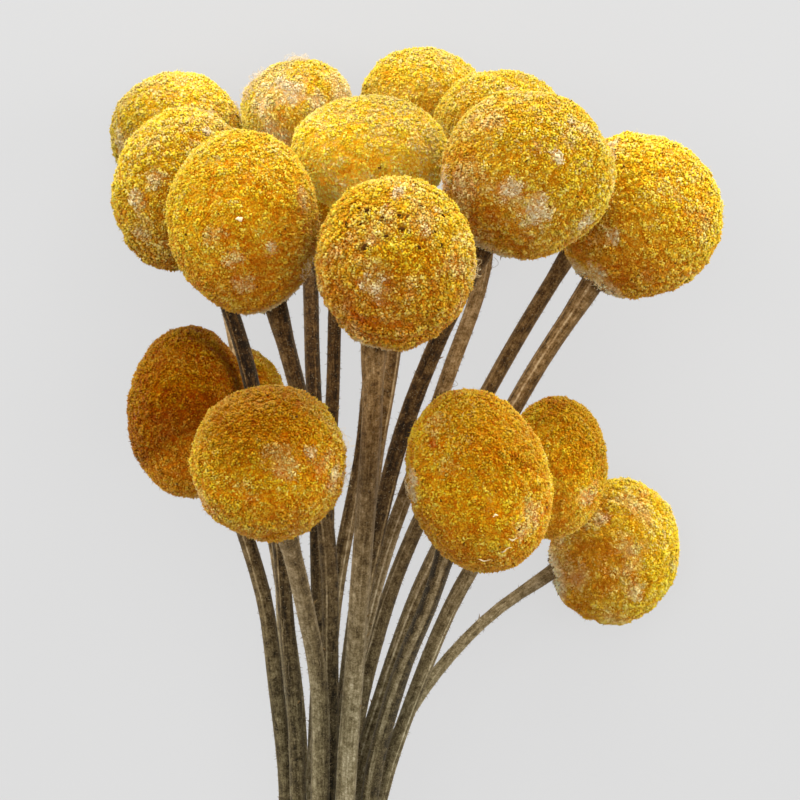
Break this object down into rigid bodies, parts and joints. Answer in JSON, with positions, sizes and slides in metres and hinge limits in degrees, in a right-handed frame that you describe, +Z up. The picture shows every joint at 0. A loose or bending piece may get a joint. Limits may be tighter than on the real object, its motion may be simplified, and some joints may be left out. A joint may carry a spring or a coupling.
{
  "type": "tied bunch of dried billy buttons",
  "caption": "Bunch of dried ball-shaped yellow flowers on long bare stems, held by a twine tie and lying on its side.",
  "frame": {"origin": "middle of the bottom of the bounding box, on the surface that the bunch lies on", "axes": "+Y along the bunch towards the flower heads, +Z up from the surface, +X to the right when looking down with the heads away"},
  "size_m": [0.1112, 0.3994, 0.1039],
  "materials": {
    "florets": "matt, dense tiny dried florets, bright yellow to gold with pale wool",
    "dried_stem": "matt, ribbed and woolly, brown-grey",
    "twine": "matt twisted natural fibre"
  },
  "bodies": {
    "root": {"head_01": "florets", "stem_01": "dried_stem", "head_02": "florets", "stem_02": "dried_stem", "head_03": "florets", "stem_03": "dried_stem", "head_04": "florets", "stem_04": "dried_stem", "head_05": "florets", "stem_05": "dried_stem", "head_06": "florets", "stem_06": "dried_stem", "head_07": "florets", "stem_07": "dried_stem", "head_08": "florets", "stem_08": "dried_stem", "head_09": "florets", "stem_09": "dried_stem", "head_10": "florets", "stem_10": "dried_stem", "head_11": "florets", "stem_11": "dried_stem", "head_12": "florets", "stem_12": "dried_stem", "head_13": "florets", "stem_13": "dried_stem", "head_14": "florets", "stem_14": "dried_stem", "head_15": "florets", "stem_15": "dried_stem", "head_16": "florets", "stem_16": "dried_stem", "head_17": "florets", "stem_17": "dried_stem", "head_18": "florets", "stem_18": "dried_stem", "tie": "twine"}
  },
  "joints": []
}
